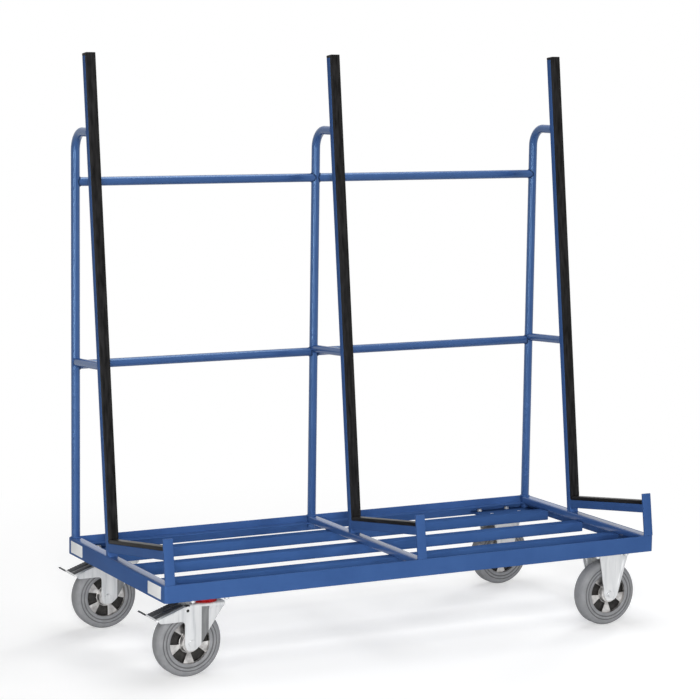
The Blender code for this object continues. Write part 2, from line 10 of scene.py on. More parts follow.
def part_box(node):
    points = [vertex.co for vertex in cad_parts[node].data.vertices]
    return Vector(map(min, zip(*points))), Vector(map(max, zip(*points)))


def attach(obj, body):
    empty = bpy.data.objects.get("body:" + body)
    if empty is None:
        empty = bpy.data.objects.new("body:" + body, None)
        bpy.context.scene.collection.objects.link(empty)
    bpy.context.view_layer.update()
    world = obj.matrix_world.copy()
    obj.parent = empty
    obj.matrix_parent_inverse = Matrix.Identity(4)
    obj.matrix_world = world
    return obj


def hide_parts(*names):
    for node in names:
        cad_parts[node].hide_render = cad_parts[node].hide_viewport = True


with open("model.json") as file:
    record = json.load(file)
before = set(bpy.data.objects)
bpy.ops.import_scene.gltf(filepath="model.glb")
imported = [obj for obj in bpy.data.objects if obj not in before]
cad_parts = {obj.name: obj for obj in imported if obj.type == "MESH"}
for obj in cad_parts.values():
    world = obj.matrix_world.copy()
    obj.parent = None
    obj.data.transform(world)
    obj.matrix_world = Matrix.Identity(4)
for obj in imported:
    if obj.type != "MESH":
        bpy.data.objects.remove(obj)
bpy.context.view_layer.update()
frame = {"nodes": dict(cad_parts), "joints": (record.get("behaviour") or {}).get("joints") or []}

# Places that the frame gives
LEFT_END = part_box("left_end_rail")[0].x
RIGHT_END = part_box("right_end_rail")[1].x
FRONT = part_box("front_rail")[0].y
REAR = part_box("rear_rail")[1].y
RIM_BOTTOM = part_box("front_rail")[0].z
RIM_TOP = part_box("front_rail")[1].z
BASE_X = (LEFT_END + RIGHT_END) / 2
BASE_Y = (FRONT + REAR) / 2
JOINT_AT = {joint["name"]: Vector(joint["pos_m"]) for joint in frame["joints"]}

# Sizes of the part, as in its source
FIT = 0.0003
SHEET = 0.003
FLANGE_DEPTH = 0.030
FLANGE_TOP = 0.0297
LEAN = math.radians(7.2)
FOOT_TILT = math.radians(8.2)
SUPPORT_WIDTH = 0.030
UPRIGHT_FRONT = 0.036
UPRIGHT_TOP = 1.740
UPRIGHT_DEPTH = 0.021
RUBBER = 0.011
CAP_THICK = 0.008
FOOT_HEIGHT = 0.026
FOOT_TOP_RISE = 0.0525
STOP_THICK = 0.006
POST_RADIUS = 0.01345
BEND_RADIUS = 0.058
BEND_TOP = 1.506
BAR_RADIUS = 0.01345
UPPER_BAR = 1.356
LOWER_BAR = 0.806
BRACE_RADIUS = 0.0125
BRACE_AT_POST = LOWER_BAR + 0.009
BRACE_AT_UPRIGHT = LOWER_BAR + 0.021
WHEEL_RADIUS = 0.100
RIM_RADIUS = 0.066
FORK_HALF = 0.034
LEG_SHEET = 0.004
LEG_FOOT = WHEEL_RADIUS - 0.0205
CROWN_TOP = RIM_BOTTOM - 0.0145
PLATE_TOP = RIM_BOTTOM + 0.0055
PAD_HIGH = RIM_BOTTOM + 0.0118
TRAIL = 0.053
PEDAL_REACH = 0.110
PEDAL_HALF = 0.040
PEDAL_SLOPE = math.radians(19.4)
PEDAL_PIVOT_X = -0.012
PEDAL_PIVOT_Z = CROWN_TOP - 0.017
PEDAL_LIFT = 0.0125
WING_REACH = 0.055
EAR_OUT = 0.0292
EAR_SHEET = 0.003
BOLT_PATTERN = (0.0525, 0.040)

# Sizes that only the visual model has
SMOOTH_ANGLE = 34.0
MERGE = 0.000004
TUBE_SIDES = 40
BAR_SIDES = 36
SLAT_EDGE = 0.0009
STOP_EDGE = 0.0010
LEAN_EDGE = 0.0022
FOOT_EDGE = 0.0020
LEG_BEND = 0.0070
LEG_CORNER = 0.006
CUT_EDGE = 0.0007
PLATE_EDGE = 0.0006
BOLT_EDGE = 0.0008
CAST_EDGE = 0.0009
POCKET_RADII = (0.0300, 0.0606)
POCKET_HALF = 0.0154
GROOVE_RADII = ((0.0706, 0.0741), (0.0804, 0.0832))
GROOVE_HALF = 0.0246

PLACES = ("left", "middle", "right")
SUPPORT_X = {place: sum(corner.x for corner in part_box("upright_" + place)) / 2 for place in PLACES}
POST_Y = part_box("post_left")[1].y - POST_RADIUS
POST_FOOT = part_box("post_left")[0].z
TUBE_FRONT = RUBBER + FIT
TUBE_REAR = TUBE_FRONT + UPRIGHT_DEPTH


# Materials
def object_points(tree, stretch=(1.0, 1.0, 1.0)):
    """Object coordinates in metres, scaled along each axis."""
    coords = tree.nodes.new("ShaderNodeTexCoord")
    mapping = tree.nodes.new("ShaderNodeMapping")
    mapping.inputs["Scale"].default_value = stretch
    tree.links.new(coords.outputs["Object"], mapping.inputs["Vector"])
    return mapping.outputs["Vector"]


def noise_value(tree, points, scale, detail):
    texture = tree.nodes.new("ShaderNodeTexNoise")
    texture.inputs["Scale"].default_value = scale
    texture.inputs["Detail"].default_value = detail
    texture.inputs["Roughness"].default_value = 0.55
    tree.links.new(points, texture.inputs["Vector"])
    return texture.outputs["Fac"]


def ramp(tree, value, stops):
    """Colour ramp from (position, colour) stops."""
    node = tree.nodes.new("ShaderNodeValToRGB")
    elements = node.color_ramp.elements
    while len(elements) < len(stops):
        elements.new(0.5)
    for element, (position, colour) in zip(elements, stops):
        element.position = position
        element.color = (*colour, 1.0)
    tree.links.new(value, node.inputs["Fac"])
    return node.outputs["Color"]


def spread(tree, value, low, high):
    """Noise value spread over a range of numbers."""
    node = tree.nodes.new("ShaderNodeMapRange")
    node.inputs["From Min"].default_value = 0.3
    node.inputs["From Max"].default_value = 0.7
    node.inputs["To Min"].default_value = low
    node.inputs["To Max"].default_value = high
    tree.links.new(value, node.inputs["Value"])
    return node.outputs["Result"]


def bump(tree, shader, height, strength, distance):
    node = tree.nodes.new("ShaderNodeBump")
    node.inputs["Strength"].default_value = strength
    node.inputs["Distance"].default_value = distance
    tree.links.new(height, node.inputs["Height"])
    tree.links.new(node.outputs["Normal"], shader.inputs["Normal"])


def grained_material(name, stops, patch_scale, rough, grain_scale, grain,
                     stretch=(1, 1, 1), metallic=0.0, specular=0.5, tint=(1.0, 1.0, 1.0)):
    """Surface with soft patches of colour and roughness over a fine grain of a strength and depth."""
    material = bpy.data.materials.new(name)
    material.use_nodes = True
    tree = material.node_tree
    shader = tree.nodes["Principled BSDF"]
    shader.inputs["Roughness"].default_value = rough[0]
    shader.inputs["Metallic"].default_value = metallic
    shader.inputs["Specular IOR Level"].default_value = specular
    shader.inputs["Specular Tint"].default_value = (*tint, 1.0)
    patches = noise_value(tree, object_points(tree, stretch), patch_scale, 4.0)
    tree.links.new(ramp(tree, patches, stops), shader.inputs["Base Color"])
    tree.links.new(spread(tree, patches, *rough), shader.inputs["Roughness"])
    fine = noise_value(tree, object_points(tree), grain_scale, 2.0)
    bump(tree, shader, fine, *grain)
    return material


# Paint of the flat steel; of the round tubes, a darker copy as painted shade with a blue tint on its
# reflections; of the bar welds, darker as painted shade at the joints; of the slats, a touch darker as
# painted shade; and of the cross-members
PAINT = ((0.30, (0.040, 0.094, 0.255)), (0.70, (0.049, 0.112, 0.292)))
BLUE = grained_material(
    "powder_coat_blue", PAINT,
    patch_scale=7.0, rough=(0.30, 0.38), grain_scale=700.0, grain=(0.08, 0.0003), specular=0.012)
# Round tubes: a darker copy of the flat steel's paint, painted shade for their sides, with a blue tint on
# their reflections
TUBE_SHADED_BLUE = grained_material(
    "powder_coat_tube_painted_shade", ((0.30, (0.026, 0.066, 0.196)), (0.70, (0.034, 0.082, 0.228))),
    patch_scale=7.0, rough=(0.22, 0.28), grain_scale=700.0, grain=(0.04, 0.0003), specular=0.80,
    tint=(0.42, 0.68, 1.0))
# Bar welds: dark paint, painted shade at the joints of the bars and posts
WELD_SHADE_BLUE = grained_material(
    "powder_coat_weld_painted_shade", ((0.30, (0.012, 0.026, 0.066)), (0.70, (0.026, 0.056, 0.140))),
    patch_scale=160.0, rough=(0.34, 0.44), grain_scale=900.0, grain=(0.20, 0.0004), specular=0.05)
# Slats: a touch darker than the flat steel's paint, as painted shade
SLAT_SHADED_BLUE = grained_material(
    "powder_coat_slat_painted_shade", ((0.30, (0.038, 0.092, 0.252)), (0.70, (0.047, 0.110, 0.288))),
    patch_scale=7.0, rough=(0.30, 0.38), grain_scale=700.0, grain=(0.08, 0.0003), specular=0.0)
GLOSS = grained_material(
    "powder_coat_rubbed_bright", PAINT,
    patch_scale=7.0, rough=(0.16, 0.26), grain_scale=700.0, grain=(0.02, 0.0003), specular=0.5)

# Rubber of the uprights, the feet and the tyres, and the darker grey of the tyre grooves, painted shade in
# their recesses
BLACK = grained_material(
    "black_rubber_skin", ((0.34, (0.003, 0.0029, 0.0030)), (0.68, (0.022, 0.0214, 0.022))),
    patch_scale=1.0, rough=(0.45, 0.60), grain_scale=900.0, grain=(0.14, 0.0004),
    stretch=(130.0, 130.0, 3.0), specular=0.08)
FOOT_BLACK = grained_material(
    "foot_rubber_skin", ((0.34, (0.005, 0.0046, 0.0046)), (0.66, (0.020, 0.019, 0.019))),
    patch_scale=1.0, rough=(0.30, 0.42), grain_scale=900.0, grain=(0.05, 0.0004),
    stretch=(90.0, 6.0, 90.0), specular=0.04)
TYRE = grained_material(
    "grey_tyre_rubber", ((0.28, (0.198, 0.202, 0.211)), (0.72, (0.262, 0.266, 0.275))),
    patch_scale=38.0, rough=(0.58, 0.76), grain_scale=1500.0, grain=(0.16, 0.0003), specular=0.3)
# Tyre grooves: darker grey as painted shade in the recesses
GROOVE_SHADE = grained_material(
    "tyre_groove", ((0.28, (0.110, 0.112, 0.116)), (0.72, (0.150, 0.152, 0.157))),
    patch_scale=38.0, rough=(0.60, 0.76), grain_scale=1500.0, grain=(0.10, 0.0003), specular=0.2)

# Zinc with streaks down the legs; a darker zinc, painted shade on the pressed bands of the fork legs and a
# duller finish on the pedal's bare strip; and the cast alloy of the wheels, with near-black paint in its
# pockets as painted shade
ZINC = grained_material(
    "bright_zinc", ((0.28, (0.46, 0.475, 0.49)), (0.46, (0.63, 0.64, 0.65)), (0.72, (0.72, 0.725, 0.73))),
    patch_scale=26.0, rough=(0.28, 0.42), grain_scale=1200.0, grain=(0.05, 0.0002),
    stretch=(2.6, 2.6, 0.22), metallic=0.55)
# Darker zinc: painted shade on the pressed bands of the fork legs, and the duller finish of the pedal's
# bare strip
DULL_ZINC_AND_SHADE = grained_material(
    "dull_zinc_and_painted_shade", ((0.28, (0.17, 0.174, 0.178)), (0.72, (0.28, 0.284, 0.288))),
    patch_scale=30.0, rough=(0.36, 0.48), grain_scale=1200.0, grain=(0.05, 0.0002),
    stretch=(4.0, 4.0, 0.5), metallic=1.0)
ALLOY = grained_material(
    "cast_alloy", ((0.30, (0.30, 0.29, 0.285)), (0.70, (0.68, 0.67, 0.66))),
    patch_scale=55.0, rough=(0.30, 0.46), grain_scale=1500.0, grain=(0.10, 0.0003), metallic=1.0)
# Near-black paint as painted shade in the wheels' pockets and in the rivets' holes
POCKET_SHADE = grained_material(
    "painted_pocket_shade", ((0.30, (0.004, 0.004, 0.004)), (0.72, (0.046, 0.043, 0.041))),
    patch_scale=70.0, rough=(0.50, 0.75), grain_scale=1200.0, grain=(0.10, 0.0003), specular=0.3)

# Seals, pedals and blank plates
RED = grained_material(
    "red_seal", ((0.30, (0.26, 0.006, 0.008)), (0.70, (0.38, 0.009, 0.011))),
    patch_scale=70.0, rough=(0.24, 0.34), grain_scale=1200.0, grain=(0.06, 0.0002), specular=0.15)
PAD = grained_material(
    "dark_pedal_pad", ((0.30, (0.022, 0.024, 0.027)), (0.70, (0.056, 0.058, 0.064))),
    patch_scale=80.0, rough=(0.45, 0.62), grain_scale=1400.0, grain=(0.18, 0.0004), specular=0.3)
PLATE = grained_material(
    "pale_blank_plate", ((0.30, (0.84, 0.85, 0.85)), (0.70, (0.90, 0.91, 0.91))),
    patch_scale=30.0, rough=(0.34, 0.46), grain_scale=900.0, grain=(0.05, 0.0002), specular=0.3)


# Mesh helpers
def add_piece(name, verts, faces, material, body, slot, hides=(), angle=SMOOTH_ANGLE,
              second=None, is_second=None):
    """Closed piece in the row frame that rides on a body and stands for the CAD nodes it hides."""
    mesh = bpy.data.meshes.new(name)
    mesh.from_pydata([tuple(v) for v in verts], [], faces)
    work = bmesh.new()
    work.from_mesh(mesh)
    bmesh.ops.remove_doubles(work, verts=work.verts, dist=MERGE)
    bmesh.ops.dissolve_degenerate(work, edges=work.edges, dist=MERGE)
    bmesh.ops.recalc_face_normals(work, faces=work.faces)
    finish_mesh(work, mesh, is_second)
    place_mesh(name, mesh, material, second, body, slot, hides, angle)


def painted(name, shape, material, *hides):
    """Painted steel piece of the frame."""
    add_piece(name, *shape, material, "frame", "blue_paint", hides)


def dress(node, name, material, body, slot, width, segments=2, second=None, is_second=None):
    """Copy of a CAD node with rounded edges; is_second picks the faces that take the second material."""
    mesh = bpy.data.meshes.new(name)
    work = bmesh.new()
    work.from_mesh(frame["nodes"][node].data)
    bmesh.ops.remove_doubles(work, verts=work.verts, dist=0.00001)
    bmesh.ops.dissolve_limit(work, angle_limit=math.radians(0.5), verts=work.verts, edges=work.edges)
    bmesh.ops.bevel(work, geom=sharp_edges(work, 32), offset=width, segments=segments, profile=0.6,
                    affect="EDGES", clamp_overlap=True)
    bmesh.ops.recalc_face_normals(work, faces=work.faces)
    finish_mesh(work, mesh, is_second)
    place_mesh(name, mesh, material, second, body, slot, [node], SMOOTH_ANGLE)


def sharp_edges(work, degrees):
    limit = math.radians(degrees)
    return [e for e in work.edges if len(e.link_faces) == 2 and e.calc_face_angle() > limit]


def finish_mesh(work, mesh, is_second):
    """Marks the faces of the second material and writes the work mesh out."""
    for face in work.faces:
        face.material_index = 1 if is_second and is_second(face.calc_center_median()) else 0
    work.to_mesh(mesh)
    work.free()


def place_mesh(name, mesh, material, second, body, slot, hides, angle):
    mesh.materials.append(material)
    if second:
        mesh.materials.append(second)
    mesh.shade_smooth()
    mesh.set_sharp_from_angle(angle=math.radians(angle))
    piece = bpy.data.objects.new(name, mesh)
    bpy.context.scene.collection.objects.link(piece)
    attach(piece, body)
    if hides:
        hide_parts(*hides)


def round_rims(verts, faces, width):
    """Rounds the sharp edges of a shape."""
    work = bmesh.new()
    made = [work.verts.new(v) for v in verts]
    for face in faces:
        work.faces.new([made[i] for i in face])
    bmesh.ops.recalc_face_normals(work, faces=work.faces)
    bmesh.ops.bevel(work, geom=sharp_edges(work, 60), offset=width, segments=2, profile=0.5,
                    affect="EDGES", clamp_overlap=True)
    work.verts.index_update()
    points = [tuple(v.co) for v in work.verts]
    rings = [tuple(v.index for v in face.verts) for face in work.faces]
    work.free()
    return points, rings


def fillet(outline, radius):
    """Closed outline with its corners rounded."""
    steps = 3
    edge_share = 0.45
    result = []
    count = len(outline)
    for i in range(count):
        corner = Vector(outline[i])
        before = Vector(outline[i - 1]) - corner
        after = Vector(outline[(i + 1) % count]) - corner
        start = corner + before.normalized() * min(radius, before.length * edge_share)
        end = corner + after.normalized() * min(radius, after.length * edge_share)
        for k in range(steps + 1):
            t = k / steps
            result.append(tuple(start * (1 - t) ** 2 + corner * (2 * t * (1 - t)) + end * t * t))
    return result


def span(low_a, low_b, high_a, high_b):
    return [(low_a, low_b), (high_a, low_b), (high_a, high_b), (low_a, high_b)]


def rounded_rectangle(half_a, half_b, radius, steps=4):
    outline = []
    for sa, sb, start in ((1, 1, 0), (-1, 1, 90), (-1, -1, 180), (1, -1, 270)):
        for k in range(steps + 1):
            angle = math.radians(start + 90 * k / steps)
            outline.append((sa * (half_a - radius) + radius * math.cos(angle),
                            sb * (half_b - radius) + radius * math.sin(angle)))
    return outline


def circle(radius, sides):
    step = 2 * math.pi / sides
    return [(radius * math.cos(i * step), radius * math.sin(i * step)) for i in range(sides)]


def skin(rings, closed=False):
    """Joins equal rings; an open row of rings gets an end face at each end."""
    count = len(rings[0])
    verts = [point for ring in rings for point in ring]
    faces = []
    spans = len(rings) if closed else len(rings) - 1
    for level in range(spans):
        low = level * count
        high = (level + 1) % len(rings) * count
        for side in range(count):
            nxt = (side + 1) % count
            faces.append((low + side, low + nxt, high + nxt, high + side))
    if not closed:
        faces.append(tuple(range(count)))
        faces.append(tuple(range(len(verts) - count, len(verts))))
    return verts, faces


def merge(shapes):
    verts = []
    faces = []
    for shape_verts, shape_faces in shapes:
        base = len(verts)
        verts.extend(shape_verts)
        faces.extend(tuple(base + i for i in face) for face in shape_faces)
    return verts, faces


def about(centre, axis, outline, along):
    """Ring of (a, b) points round the Y or Z axis through centre, at a distance along the axis."""
    ring = []
    for a, b in outline:
        offset = (a, along, b) if axis == "y" else (a, b, along)
        ring.append(tuple(Vector(centre) + Vector(offset)))
    return ring


def lathe(profile, centre, axis, sides):
    """Closed profile of (radius, along) points turned about the Y or Z axis through centre."""
    rings = [about(centre, axis, circle(radius, sides), along) for radius, along in profile]
    return skin(rings, closed=True)


def disc(centre, axis, radius, low, high, soft, sides=28):
    """Round disc with softened edges, from low to high along the axis."""
    levels = ((low, radius - soft), (low + soft, radius), (high - soft, radius), (high, radius - soft))
    return skin([about(centre, axis, circle(reach, sides), along) for along, reach in levels])


def hexagon_prism(centre, radius, low, high, chamfer, phase):
    """Upright hexagon bolt head or nut with chamfered corners, from low to high."""
    sides = 24
    corner_cut = 1.02
    rings = []
    for along, chamfered in ((low, True), (low + chamfer, False), (high - chamfer, False), (high, True)):
        outline = []
        for i in range(sides):
            angle = 2 * math.pi * i / sides
            flat = radius / math.cos((angle % (math.pi / 3)) - math.pi / 6)
            reach = min(flat, radius * corner_cut) if chamfered else flat
            outline.append((reach * math.cos(angle + phase), reach * math.sin(angle + phase)))
        rings.append(about(centre, "z", outline, along))
    return skin(rings)


def bead(path, radius, seed):
    """Weld bead along a closed path, a little uneven as a hand weld is."""
    sides = 7
    unevenness = 0.30
    wave = 160
    middle = sum((Vector(p) for p in path), Vector()) / len(path)
    rings = []
    count = len(path)
    for i in range(count):
        point = Vector(path[i])
        along = (Vector(path[(i + 1) % count]) - Vector(path[i - 1])).normalized()
        out = point - middle
        out = (out - along * out.dot(along)).normalized()
        side = along.cross(out)
        swell = radius * (1 + unevenness * noise.noise(point * wave + Vector((seed, 0, 0))))
        rings.append([tuple(point + out * (a * swell) + side * (b * swell)) for a, b in circle(1.0, sides)])
    return skin(rings, closed=True)


# Lines in the Y-Z plane, held as a normal (y, z) and an offset
def cross_point(first, second):
    (a, b), c = first
    (d, e), f = second
    det = a * e - b * d
    return ((c * e - b * f) / det, (a * f - c * d) / det)


def level_line(height):
    return (0.0, 1.0), height


def upright_line(depth):
    """Line along the leaning upright, at a depth behind the front of its rubber."""
    normal = (math.cos(LEAN), -math.sin(LEAN))
    return normal, (BASE_Y + UPRIGHT_FRONT) * normal[0] + RIM_TOP * normal[1] + depth


def foot_line(drop):
    """Line along the tilted foot, at a drop below the top of its rubber."""
    normal = (math.sin(FOOT_TILT), math.cos(FOOT_TILT))
    start = cross_point(upright_line(0), level_line(RIM_TOP + FOOT_TOP_RISE))
    return normal, start[0] * normal[0] + start[1] * normal[1] - drop


def stop_line(depth):
    """Line along the front stop, at a depth behind its front face."""
    normal = (math.cos(FOOT_TILT), -math.sin(FOOT_TILT))
    return normal, FRONT * normal[0] + RIM_TOP * normal[1] + depth


def upright_end(drop):
    """Line across the upright's top end, at a drop along the upright."""
    rear_drop = 0.0045
    normal = (math.sin(LEAN), math.cos(LEAN))
    top = cross_point(upright_line(0), level_line(UPRIGHT_TOP))
    corner = cross_point(upright_line(TUBE_REAR), level_line(UPRIGHT_TOP - rear_drop))
    reach = max(corner[0] * normal[0] + corner[1] * normal[1], top[0] * normal[0] + top[1] * normal[1])
    return normal, reach - drop


SEAT = level_line(RIM_TOP + FIT)


# Base rim: one folded section carried round the four sides, with rounded corners
def base_rim():
    low = FLANGE_TOP - SHEET
    height = RIM_TOP - RIM_BOTTOM
    section = [(0, 0), (SHEET, 0), (SHEET, low), (FLANGE_DEPTH, low), (FLANGE_DEPTH, FLANGE_TOP),
               (SHEET, FLANGE_TOP), (SHEET, height), (0, height)]
    fold = 0.0012
    corner = 0.009
    half_x = (RIGHT_END - LEFT_END) / 2
    half_y = (REAR - FRONT) / 2
    rings = []
    for inset, rise in fillet(section, fold):
        outline = rounded_rectangle(half_x - inset, half_y - inset, max(corner - inset, 0.0), steps=8)
        rings.append([(BASE_X + a, BASE_Y + b, RIM_BOTTOM + rise) for a, b in outline])
    painted("base_rim", skin(rings, closed=True), BLUE,
            "front_rail", "rear_rail", "left_end_rail", "right_end_rail")


def cross_member(place):
    node = "cross_member_" + place
    corner = 0.0028
    low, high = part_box(node)
    centre = (low + high) / 2
    outline = rounded_rectangle((high.x - low.x) / 2, (high.z - low.z) / 2, corner)
    rings = [[(centre.x + a, y, centre.z + b) for a, b in outline] for y in (low.y, high.y)]
    painted("rounded_" + node, skin(rings), GLOSS, node)


base_rim()
# Slats in the slightly darker paint that is painted shade
for place in ("front", "middle", "rear"):
    dress("slat_" + place, "folded_slat_" + place, SLAT_SHADED_BLUE, "frame", "blue_paint", SLAT_EDGE)
for place in SUPPORT_X:
    cross_member(place)


# Supports: posts, uprights, feet and stops
def post_rings(middle):
    outline = circle(POST_RADIUS, TUBE_SIDES)
    rings = [[(middle + a, POST_Y + b, POST_FOOT) for a, b in outline]]
    centre_y = POST_Y - BEND_RADIUS
    centre_z = BEND_TOP - BEND_RADIUS
    steps = 16
    for i in range(steps + 1):
        angle = i / steps * math.pi / 2
        rings.append([(middle + a, centre_y + (BEND_RADIUS + b) * math.cos(angle),
                       centre_z + (BEND_RADIUS + b) * math.sin(angle)) for a, b in outline])
    end = []
    for a, b in outline:
        height = BEND_TOP + b
        end.append((middle + a, cross_point(upright_line(TUBE_REAR + FIT), level_line(height))[0], height))
    rings.append(end)
    return rings


def cope(offset, mitre):
    """Distance from a post's middle to the cut end of a tube that meets it, at an offset across."""
    reach = POST_RADIUS + 2 * FIT
    saddle = math.sqrt(max(reach * reach - offset * offset, 0.0))
    return max(saddle, abs(offset) + FIT) if mitre else saddle


def brace_rings(middle, radius):
    near = cross_point(upright_line(TUBE_REAR + FIT), level_line(BRACE_AT_UPRIGHT))[0]
    slope = math.atan2(BRACE_AT_UPRIGHT - BRACE_AT_POST, POST_Y - near)
    cos, sin = math.cos(slope), math.sin(slope)
    normal, offset = upright_line(TUBE_REAR + FIT)
    rear_ring = []
    front_ring = []
    for a, b in circle(radius, BAR_SIDES):
        start_y = POST_Y + b * sin
        start_z = BRACE_AT_POST + b * cos
        along = (cope(a, True) + b * sin) / cos
        rear_ring.append((middle + a, start_y - along * cos, start_z + along * sin))
        gap = start_y * normal[0] + start_z * normal[1] - offset
        travel = gap / (cos * normal[0] - sin * normal[1])
        front_ring.append((middle + a, start_y - travel * cos, start_z + travel * sin))
    return [rear_ring, front_ring]


def bar_rings(left, right, height, radius, mitred):
    outline = circle(radius, BAR_SIDES)
    rings = []
    for end, along in ((left, 1), (right, -1)):
        ring = [(end + along * cope(a, mitred and a < 0), POST_Y + a, height + b) for a, b in outline]
        rings.append(ring)
    return rings


def slab(front, rear, start, end, middle):
    """Rectangular tube with rounded edges between two planes, cut by the start and end planes."""
    corner = 0.0025
    depth = rear[1] - front[1]
    outline = rounded_rectangle(SUPPORT_WIDTH / 2, depth / 2, corner)
    rings = []
    for plane in (start, end):
        ring = []
        for a, b in outline:
            side = (front[0], front[1] + depth / 2 + b)
            ring.append((middle + a, *cross_point(side, plane)))
        rings.append(ring)
    return skin(rings)


def seat_bead(middle, planes, inset, corner, steps, rise, radius, seed):
    """Weld bead on the base, round a tube or flat that stands there between two planes."""
    low, high = (cross_point(plane, SEAT)[0] for plane in planes)
    ring = rounded_rectangle(SUPPORT_WIDTH / 2 - inset, (high - low) / 2, corner, steps)
    return bead([(middle + a, (low + high) / 2 + b, RIM_TOP + rise) for a, b in ring], radius, seed)


def support_welds(place, middle, post_end, seed):
    """Welds of one support: both ends of its post and of its brace, the upright's foot and the stop."""
    post_bead = 0.0022
    thin_bead = 0.0017
    outline = circle(POST_RADIUS + 0.0006, TUBE_SIDES)
    post_seat = [(middle + a, POST_Y + b, RIM_TOP + 0.0012) for a, b in outline]
    welds = [bead(post_seat, post_bead, seed), bead(post_end, thin_bead, seed + 5)]
    for ring in brace_rings(middle, BRACE_RADIUS + 0.0003):
        welds.append(bead(ring, thin_bead, seed + 9))
    planes = (upright_line(TUBE_FRONT), upright_line(TUBE_REAR))
    welds.append(seat_bead(middle, planes, inset=0.001, corner=0.003, steps=6, rise=0.001, radius=0.0018,
                           seed=seed + 13))
    planes = (stop_line(0.0038), stop_line(STOP_THICK))
    welds.append(seat_bead(middle, planes, inset=0.0008, corner=0.001, steps=5, rise=0.0014, radius=0.0023,
                           seed=seed + 17))
    painted("welds_" + place, merge(welds), BLUE)


def support(place, middle, seed):
    post = post_rings(middle)
    painted("bent_post_" + place, skin(post), TUBE_SHADED_BLUE, "post_" + place)
    top = upright_end(CAP_THICK + FIT)
    upright = slab(upright_line(TUBE_FRONT), upright_line(TUBE_REAR), SEAT, top, middle)
    painted("upright_tube_" + place, upright, BLUE, "upright_" + place)
    dress("upright_rubber_" + place, "lean_rubber_" + place, BLACK, "frame", "black_rubber", LEAN_EDGE, 3)
    foot = slab(foot_line(RUBBER + FIT + FOOT_HEIGHT), foot_line(RUBBER + FIT), stop_line(STOP_THICK + FIT),
                upright_line(TUBE_FRONT - FIT), middle)
    painted("foot_tube_" + place, foot, BLUE, "foot_rail_" + place)
    dress("foot_rubber_" + place, "foot_pad_" + place, FOOT_BLACK, "frame", "black_rubber", FOOT_EDGE, 3)
    dress("front_stop_" + place, "stop_flat_" + place, BLUE, "frame", "blue_paint", STOP_EDGE)
    brace = skin(brace_rings(middle, BRACE_RADIUS))
    painted("brace_tube_" + place, brace, TUBE_SHADED_BLUE, "brace_" + place)
    support_welds(place, middle, post[-1], seed)


def bar(level, bay, left, right, height, mitred):
    name = level + "_bar_" + bay
    ends = (SUPPORT_X[left], SUPPORT_X[right], height)
    tube = skin(bar_rings(*ends, BAR_RADIUS, mitred))
    painted(level + "_tube_" + bay, tube, TUBE_SHADED_BLUE, name)
    seam_sink = 0.0002
    seam_bead = 0.0024
    seams = bar_rings(*ends, BAR_RADIUS - seam_sink, mitred)
    welds = [bead(ring, seam_bead, 3 + i) for i, ring in enumerate(seams)]
    # The dark paint on these welds is painted shade at the joints
    painted("welds_" + name, merge(welds), WELD_SHADE_BLUE)


for place_seed, place in enumerate(SUPPORT_X):
    support(place, SUPPORT_X[place], place_seed)
for level, height, mitred in (("upper", UPPER_BAR, False), ("lower", LOWER_BAR, True)):
    bar(level, "left", "left", "middle", height, mitred)
    bar(level, "right", "middle", "right", height, mitred)


# Pressed sheet: a flat outline cut along fold lines, then folded into place with its thickness
def pressed_sheet(outline, cuts, place_at, thickness):
    count = len(outline)
    edges = [(i, (i + 1) % count) for i in range(count)]
    inside_only = 1
    found = delaunay_2d_cdt([Vector(p) for p in outline], edges, [], inside_only, 0.0000001)
    spots, triangles = found[0], found[2]
    work = bmesh.new()
    corners = [work.verts.new((*spot, 0.0)) for spot in spots]
    for triangle in triangles:
        work.faces.new([corners[i] for i in triangle])
    for point, normal in cuts:
        bmesh.ops.bisect_plane(work, geom=work.verts[:] + work.edges[:] + work.faces[:], dist=0.000001,
                               plane_co=(*point, 0.0), plane_no=(*normal, 0.0))
    work.verts.index_update()
    flat = [(v.co.x, v.co.y) for v in work.verts]
    faces = [tuple(v.index for v in face.verts) for face in work.faces]
    rim = [(e.verts[0].index, e.verts[1].index) for e in work.edges if len(e.link_faces) == 1]
    work.free()
    count = len(flat)
    verts = [place_at(a, b, 0.0) for a, b in flat] + [place_at(a, b, thickness) for a, b in flat]
    faces = faces + [tuple(count + i for i in reversed(face)) for face in faces]
    faces += [(a, b, count + b, count + a) for a, b in rim]
    return round_rims(verts, faces, CUT_EDGE)


def smooth_step(value):
    value = min(max(value, 0.0), 1.0)
    return value * value * (3 - 2 * value)


